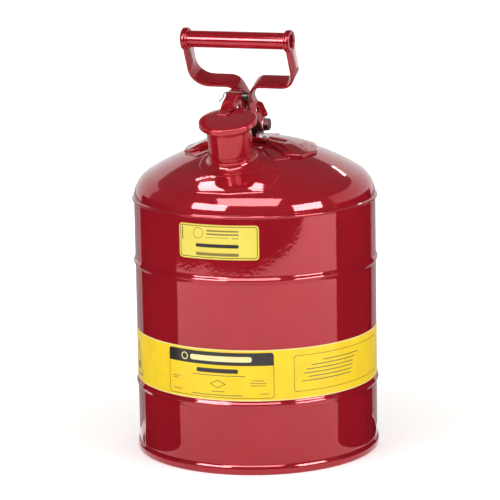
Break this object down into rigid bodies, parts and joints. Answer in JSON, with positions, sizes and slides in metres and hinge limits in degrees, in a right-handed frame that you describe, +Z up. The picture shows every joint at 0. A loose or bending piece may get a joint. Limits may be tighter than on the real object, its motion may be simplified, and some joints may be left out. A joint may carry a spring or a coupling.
{
  "type": "safety gas can",
  "caption": "Round steel safety can with a domed top, a leaning spout under a spring-closed lid, a flame arrester and a swinging carrying handle.",
  "frame": {"origin": "centre of the base on the floor, on the can's axis", "axes": "+Z up, -Y towards the spout (front), +X to the right seen from the front"},
  "size_m": [0.298, 0.298, 0.5182],
  "materials": {
    "body_paint": "gloss enamel",
    "dome_paint": "gloss enamel",
    "spout_paint": "gloss enamel",
    "fitting_paint": "gloss enamel",
    "handle_paint": "gloss enamel",
    "zinc": "zinc plated",
    "spring_steel": "dark oiled",
    "brass_mesh": "woven wire mesh",
    "gasket_rubber": "matte",
    "band_film": "printed film",
    "spec_film": "printed film"
  },
  "bodies": {
    "can": {"body_shell": "body_paint", "bottom_pan": "body_paint", "top_dome": "dome_paint", "spout_flange": "spout_paint", "spout_tube": "spout_paint", "arrester_collar": "zinc", "arrester_outer_screen": "brass_mesh", "arrester_inner_screen": "brass_mesh", "dome_pad": "fitting_paint", "saddle_plate": "fitting_paint", "saddle_screws": "zinc", "handle_yoke": "fitting_paint", "hinge_bracket": "fitting_paint", "handle_bolt": "zinc", "handle_bolt_washers": "zinc", "handle_bolt_nut": "zinc", "pivot_sleeve": "zinc", "lid_hinge_pin": "zinc", "hinge_pin_clip": "spring_steel", "lid_spring": "spring_steel", "band_label": "band_film", "spec_label": "spec_film"},
    "lid": {"lid_arm": "spout_paint", "lid_cap": "spout_paint", "lid_rivets": "spout_paint", "lid_gasket": "gasket_rubber", "gasket_retainer": "zinc", "gasket_screw": "zinc"},
    "handle": {"left_handle_strap": "handle_paint", "right_handle_strap": "handle_paint", "waist_rivet": "handle_paint", "grip_tube": "handle_paint", "grip_collars": "handle_paint"}
  },
  "joints": [
    {"name": "lid_hinge", "type": "hinge", "parent": "can", "child": "lid", "pos_m": [0, -0.041, 0.4365], "axis": [-1, 0, 0], "range_deg": [0, 62], "stiffness_Nm_per_rad": 0.6, "springref_deg": -57.3, "deforming": ["lid_spring"]},
    {"name": "handle_swing", "type": "hinge", "parent": "can", "child": "handle", "pos_m": [0, 0.003, 0.3965], "axis": [-1, 0, 0], "range_deg": [0, 110]}
  ]
}
